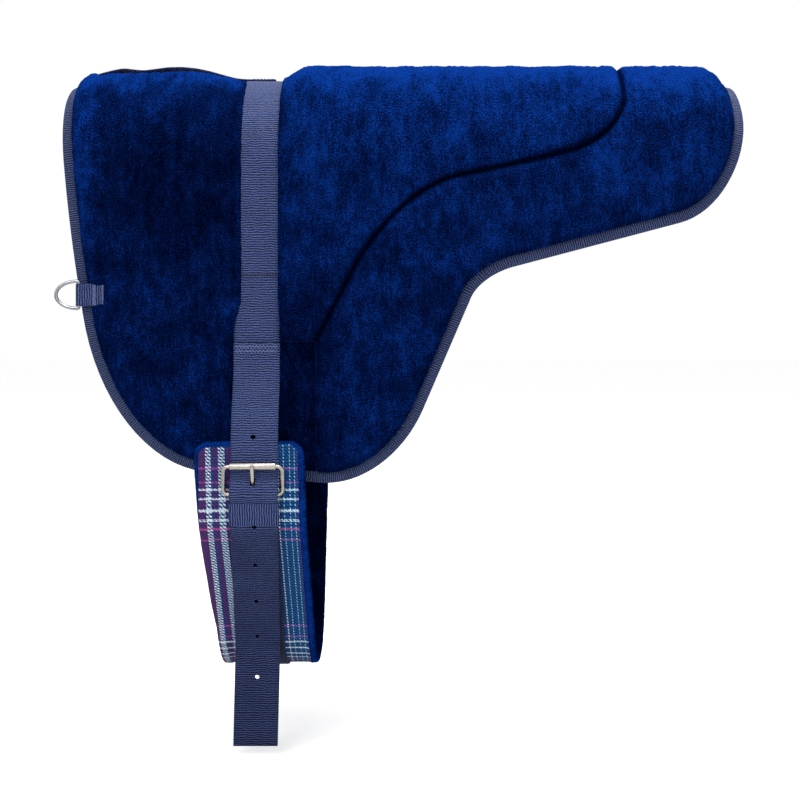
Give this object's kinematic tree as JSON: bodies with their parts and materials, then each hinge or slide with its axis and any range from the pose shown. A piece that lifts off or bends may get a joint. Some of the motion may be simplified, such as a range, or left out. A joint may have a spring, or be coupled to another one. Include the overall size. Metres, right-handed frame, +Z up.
{
  "type": "bareback pad",
  "caption": "Plush bareback pad with bound edge, quilted seat, surcingle, grab handle and edge rings, and a fleece-lined plaid girth on roller buckles.",
  "frame": {"origin": "under the spine of the pad's lining, in line with the middle of the surcingle", "axes": "+Z up, +X towards the horse's tail, -Y on the near (left) side"},
  "size_m": [0.755, 0.3544, 0.7743],
  "materials": {
    "navy_fleece": "long plush pile",
    "navy_canvas": "plain weave",
    "grey_felt": "felt",
    "white_foam": "open cell foam",
    "slate_navy_tape": "ribbed binding tape",
    "slate_navy_webbing": "ribbed webbing",
    "plaid_cloth": "woven plaid",
    "bright_steel": "polished",
    "satin_nickel": "satin"
  },
  "bodies": {
    "pad": {"pad_core": "grey_felt", "pad_lining": "navy_canvas", "seat_foam": "white_foam", "skirt_foam": "white_foam", "fleece_front": "navy_fleece", "fleece_rear": "navy_fleece", "near_fleece_patch": "navy_fleece", "far_fleece_patch": "navy_fleece", "edge_binding": "slate_navy_tape", "surcingle": "slate_navy_webbing", "grab_handle": "slate_navy_webbing", "girth_lining": "navy_fleece", "girth_core": "grey_felt", "girth_cover": "plaid_cloth", "girth_web": "slate_navy_webbing", "near_ring_tab": "slate_navy_webbing", "near_billet": "slate_navy_webbing", "near_keeper": "slate_navy_webbing", "far_ring_tab": "slate_navy_webbing", "far_billet": "slate_navy_webbing", "far_keeper": "slate_navy_webbing"},
    "near_ring": {"near_d_ring": "bright_steel"},
    "near_buckle": {"near_buckle_frame": "satin_nickel"},
    "near_roller_tube": {"near_roller": "satin_nickel"},
    "near_prong_bar": {"near_prong": "satin_nickel"},
    "near_tail": {"near_billet_tail": "slate_navy_webbing"},
    "far_ring": {"far_d_ring": "bright_steel"},
    "far_buckle": {"far_buckle_frame": "satin_nickel"},
    "far_roller_tube": {"far_roller": "satin_nickel"},
    "far_prong_bar": {"far_prong": "satin_nickel"},
    "far_tail": {"far_billet_tail": "slate_navy_webbing"}
  },
  "joints": [
    {"name": "near_ring_swing", "type": "hinge", "parent": "pad", "child": "near_ring", "pos_m": [-0.1935, -0.12091, -0.23155], "axis": [0, 0.0872, 0.9962], "range_deg": [-12, 120]},
    {"name": "near_buckle_tilt", "type": "hinge", "parent": "pad", "child": "near_buckle", "pos_m": [-0.00132, -0.16702, -0.44364], "axis": [1, 0, 0], "range_deg": [0, 8]},
    {"name": "near_roller_spin", "type": "hinge", "parent": "near_buckle", "child": "near_roller_tube", "pos_m": [-0.00132, -0.16731, -0.41364], "axis": [1, 0, 0], "continuous": true},
    {"name": "near_prong_lift", "type": "hinge", "parent": "near_buckle", "child": "near_prong_bar", "pos_m": [-0.00132, -0.16702, -0.44364], "axis": [1, 0, 0], "range_deg": [0, 4]},
    {"name": "near_tail_swing", "type": "hinge", "parent": "pad", "child": "near_tail", "pos_m": [0, -0.16763, -0.48299], "axis": [-1, 0, 0], "range_deg": [0, 100]},
    {"name": "far_ring_swing", "type": "hinge", "parent": "pad", "child": "far_ring", "pos_m": [-0.1935, 0.12091, -0.23155], "axis": [0, 0.0872, -0.9962], "range_deg": [-12, 120]},
    {"name": "far_buckle_tilt", "type": "hinge", "parent": "pad", "child": "far_buckle", "pos_m": [0.00132, 0.16702, -0.44364], "axis": [-1, 0, 0], "range_deg": [0, 8]},
    {"name": "far_roller_spin", "type": "hinge", "parent": "far_buckle", "child": "far_roller_tube", "pos_m": [0.00132, 0.16731, -0.41364], "axis": [-1, 0, 0], "continuous": true},
    {"name": "far_prong_lift", "type": "hinge", "parent": "far_buckle", "child": "far_prong_bar", "pos_m": [0.00132, 0.16702, -0.44364], "axis": [-1, 0, 0], "range_deg": [0, 4]},
    {"name": "far_tail_swing", "type": "hinge", "parent": "pad", "child": "far_tail", "pos_m": [0, 0.16763, -0.48299], "axis": [1, 0, 0], "range_deg": [0, 100]}
  ]
}
